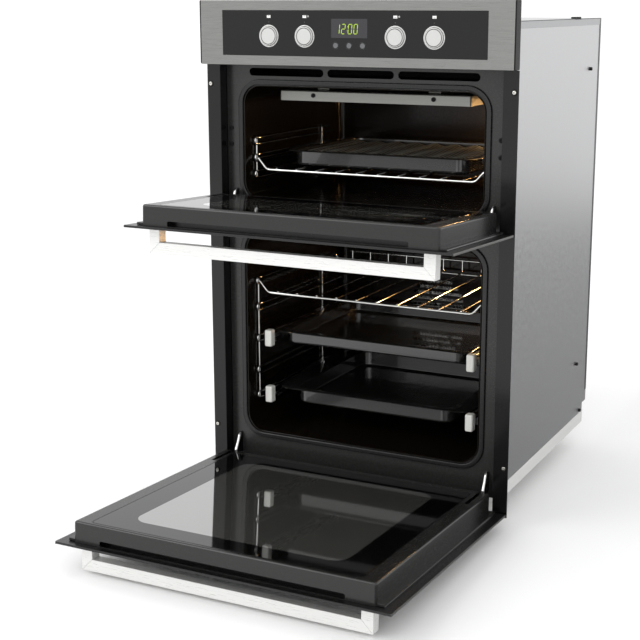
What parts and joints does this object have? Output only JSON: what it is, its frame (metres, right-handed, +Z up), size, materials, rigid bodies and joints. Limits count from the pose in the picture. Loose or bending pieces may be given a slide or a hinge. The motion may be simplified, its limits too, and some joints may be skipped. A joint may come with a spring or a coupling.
{
  "type": "built-in double oven",
  "caption": "Built-in double oven: a grill oven over a fan oven, with drop-down doors, wire shelves, trays and a control panel with clock and knobs.",
  "frame": {"origin": "middle of the carcass base, on its underside", "axes": "+X right, +Y into the cabinet, +Z up"},
  "size_m": [0.595, 1.0438, 0.9039],
  "materials": {
    "galvanised_steel": "dull galvanised sheet",
    "painted_base": "pale painted sheet",
    "frame_enamel": "grey-black enamel",
    "stainless": "brushed along the front",
    "black_glass": "black-printed toughened glass",
    "circuit_board": "printed board",
    "cavity_enamel": "glossy black vitreous enamel",
    "seal_rubber": "matt silicone",
    "heating_element": "oxidised metal sheath",
    "chromed_wire": "bright chromed wire",
    "hinge_steel": "bright plated steel",
    "lamp_lens": "ribbed clear glass",
    "handle_aluminium": "satin, near white",
    "terminal_plastic": "moulded",
    "rail_plastic": "moulded end cap on a steel rail",
    "spindle_steel": "turned",
    "knob_plastic": "satin silver-white moulding"
  },
  "bodies": {
    "cabinet": {"back_cover": "galvanised_steel", "base_tray": "painted_base", "control_board": "circuit_board", "control_fascia": "stainless", "control_glass": "black_glass", "fan_cover": "cavity_enamel", "fan_motor": "galvanised_steel", "front_frame": "frame_enamel", "grill_element": "heating_element", "grill_reflector": "stainless", "lower_hinge_left": "hinge_steel", "lower_hinge_right": "hinge_steel", "main_cavity": "cavity_enamel", "main_ladder_left": "chromed_wire", "main_ladder_right": "chromed_wire", "main_lamp": "lamp_lens", "main_seal": "seal_rubber", "ring_element": "heating_element", "side_panel_left": "galvanised_steel", "side_panel_right": "galvanised_steel", "terminal_block": "terminal_plastic", "top_cavity": "cavity_enamel", "top_cover": "galvanised_steel", "top_ladder_left": "chromed_wire", "top_ladder_right": "chromed_wire", "top_lamp": "lamp_lens", "top_seal": "seal_rubber", "trim_strip_left": "frame_enamel", "trim_strip_right": "frame_enamel", "upper_hinge_left": "hinge_steel", "upper_hinge_right": "hinge_steel"},
    "upper_door": {"upper_door_panel": "stainless", "upper_door_frame": "frame_enamel", "upper_door_glass": "black_glass", "upper_door_handle": "handle_aluminium"},
    "lower_door": {"lower_door_panel": "stainless", "lower_door_frame": "frame_enamel", "lower_door_glass": "black_glass", "lower_door_handle": "handle_aluminium"},
    "top_shelf": {"top_shelf": "chromed_wire"},
    "grill_pan": {"grill_pan": "cavity_enamel"},
    "main_shelf": {"main_shelf": "chromed_wire"},
    "upper_tray": {"upper_tray": "cavity_enamel", "upper_rail_left": "rail_plastic", "upper_rail_right": "rail_plastic"},
    "lower_tray": {"lower_tray": "cavity_enamel", "lower_rail_left": "rail_plastic", "lower_rail_right": "rail_plastic"},
    "fan": {"fan_blade": "stainless"},
    "minus_button": {"minus_button": "knob_plastic"},
    "set_button": {"set_button": "knob_plastic"},
    "plus_button": {"plus_button": "knob_plastic"},
    "top_function_spindle": {"top_function_spindle": "spindle_steel"},
    "top_function_knob": {"top_function_knob": "knob_plastic"},
    "top_heat_spindle": {"top_heat_spindle": "spindle_steel"},
    "top_heat_knob": {"top_heat_knob": "knob_plastic"},
    "main_heat_spindle": {"main_heat_spindle": "spindle_steel"},
    "main_heat_knob": {"main_heat_knob": "knob_plastic"},
    "main_function_spindle": {"main_function_spindle": "spindle_steel"},
    "main_function_knob": {"main_function_knob": "knob_plastic"}
  },
  "joints": [
    {"name": "upper_door_hinge", "type": "hinge", "parent": "cabinet", "child": "upper_door", "pos_m": [0, -0.279, 0.485], "axis": [-1, 0, 0], "range_deg": [0, 87]},
    {"name": "lower_door_hinge", "type": "hinge", "parent": "cabinet", "child": "lower_door", "pos_m": [0, -0.279, -0.011], "axis": [-1, 0, 0], "range_deg": [0, 87]},
    {"name": "top_shelf_slide", "type": "slide", "parent": "cabinet", "child": "top_shelf", "axis": [0, 1, 0], "range_m": [-0.3, 0]},
    {"name": "grill_pan_slide", "type": "slide", "parent": "top_shelf", "child": "grill_pan", "axis": [0, 1, 0], "range_m": [-0.12, 0]},
    {"name": "main_shelf_slide", "type": "slide", "parent": "cabinet", "child": "main_shelf", "axis": [0, 1, 0], "range_m": [-0.3, 0]},
    {"name": "upper_tray_slide", "type": "slide", "parent": "cabinet", "child": "upper_tray", "axis": [0, 1, 0], "range_m": [-0.28, 0]},
    {"name": "lower_tray_slide", "type": "slide", "parent": "cabinet", "child": "lower_tray", "axis": [0, 1, 0], "range_m": [-0.28, 0]},
    {"name": "fan_spin", "type": "hinge", "parent": "cabinet", "child": "fan", "pos_m": [0, 0.152, 0.25], "axis": [0, 1, 0], "continuous": true},
    {"name": "top_function_turn", "type": "hinge", "parent": "cabinet", "child": "top_function_spindle", "pos_m": [-0.156, -0.287, 0.802], "axis": [0, 1, 0], "range_deg": [0, 300]},
    {"name": "top_function_pop", "type": "slide", "parent": "top_function_spindle", "child": "top_function_knob", "axis": [0, -1, 0], "range_m": [0, 0.012]},
    {"name": "top_heat_turn", "type": "hinge", "parent": "cabinet", "child": "top_heat_spindle", "pos_m": [-0.0856, -0.287, 0.802], "axis": [0, 1, 0], "range_deg": [0, 270]},
    {"name": "top_heat_pop", "type": "slide", "parent": "top_heat_spindle", "child": "top_heat_knob", "axis": [0, -1, 0], "range_m": [0, 0.012]},
    {"name": "main_heat_turn", "type": "hinge", "parent": "cabinet", "child": "main_heat_spindle", "pos_m": [0.0856, -0.287, 0.802], "axis": [0, 1, 0], "range_deg": [0, 270]},
    {"name": "main_heat_pop", "type": "slide", "parent": "main_heat_spindle", "child": "main_heat_knob", "axis": [0, -1, 0], "range_m": [0, 0.012]},
    {"name": "main_function_turn", "type": "hinge", "parent": "cabinet", "child": "main_function_spindle", "pos_m": [0.156, -0.287, 0.802], "axis": [0, 1, 0], "range_deg": [0, 300]},
    {"name": "main_function_pop", "type": "slide", "parent": "main_function_spindle", "child": "main_function_knob", "axis": [0, -1, 0], "range_m": [0, 0.012]},
    {"name": "minus_press", "type": "slide", "parent": "cabinet", "child": "minus_button", "axis": [0, 1, 0], "range_m": [0, 0.0015], "stiffness_N_per_m": 400},
    {"name": "set_press", "type": "slide", "parent": "cabinet", "child": "set_button", "axis": [0, 1, 0], "range_m": [0, 0.0015], "stiffness_N_per_m": 400},
    {"name": "plus_press", "type": "slide", "parent": "cabinet", "child": "plus_button", "axis": [0, 1, 0], "range_m": [0, 0.0015], "stiffness_N_per_m": 400}
  ]
}
